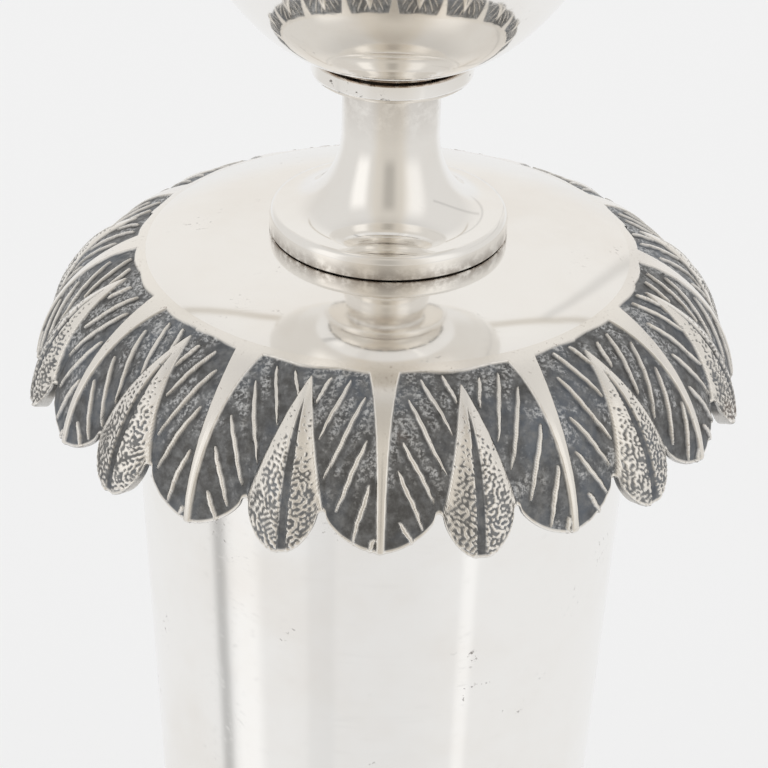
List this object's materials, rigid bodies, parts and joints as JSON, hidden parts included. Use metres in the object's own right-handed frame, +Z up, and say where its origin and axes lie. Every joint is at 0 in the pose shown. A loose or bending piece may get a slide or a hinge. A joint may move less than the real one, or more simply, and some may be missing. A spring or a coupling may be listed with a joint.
{
  "type": "candlestick",
  "caption": "Silver table candlestick: round spun foot, column that narrows downwards, leaf-skirt capital, trumpet spool, urn socket and lift-out nozzle with drip pan.",
  "frame": {"origin": "centre of the circle on which the foot stands, at table level", "axes": "+Z up along the candlestick's axis; -Y points at the middle of a broad leaf of the capital"},
  "size_m": [0.15, 0.15, 0.3057],
  "materials": {
    "polished_silver": "old polished silver with fine scratches",
    "chased_silver": "chased silver, oxidised dark in the recesses and bright on the ribs",
    "brass": "dull turned brass",
    "steel": "dull threaded steel"
  },
  "bodies": {
    "stand": {"foot_rim_ring": "polished_silver", "foot_shell": "polished_silver", "foot_inner_plate": "brass", "column_base_collar": "polished_silver", "column_bottom_plug": "brass", "column_shell": "polished_silver", "column_top_plug": "brass", "capital_seat_disc": "brass", "leaf_capital": "chased_silver", "spool_body": "polished_silver", "spool_flange": "polished_silver", "urn_bowl": "polished_silver", "urn_girdle": "polished_silver", "urn_upper_body": "polished_silver", "urn_rim": "polished_silver", "socket_liner": "brass", "tie_rod": "steel", "rod_top_nut": "steel"},
    "nozzle": {"nozzle_tube": "polished_silver", "nozzle_lip": "polished_silver", "drip_pan": "polished_silver", "drip_pan_rim": "polished_silver"},
    "washer": {"rod_washer": "steel"},
    "nut": {"rod_nut": "steel"}
  },
  "joints": [
    {"name": "nozzle_lift", "type": "slide", "parent": "stand", "child": "nozzle", "axis": [0, 0, 1], "range_m": [0, 0.035]},
    {"name": "washer_travel", "type": "slide", "parent": "stand", "child": "washer", "axis": [0, 0, -1], "range_m": [0, 0.008]},
    {"name": "nut_turn", "type": "hinge", "parent": "washer", "child": "nut", "pos_m": [0, 0, 0.024], "axis": [0, 0, -1], "range_deg": [0, 2880]}
  ],
  "couplings": [
    {"joint": "nut_turn", "follows": "washer_travel", "rad_per_m": 6283.2}
  ]
}
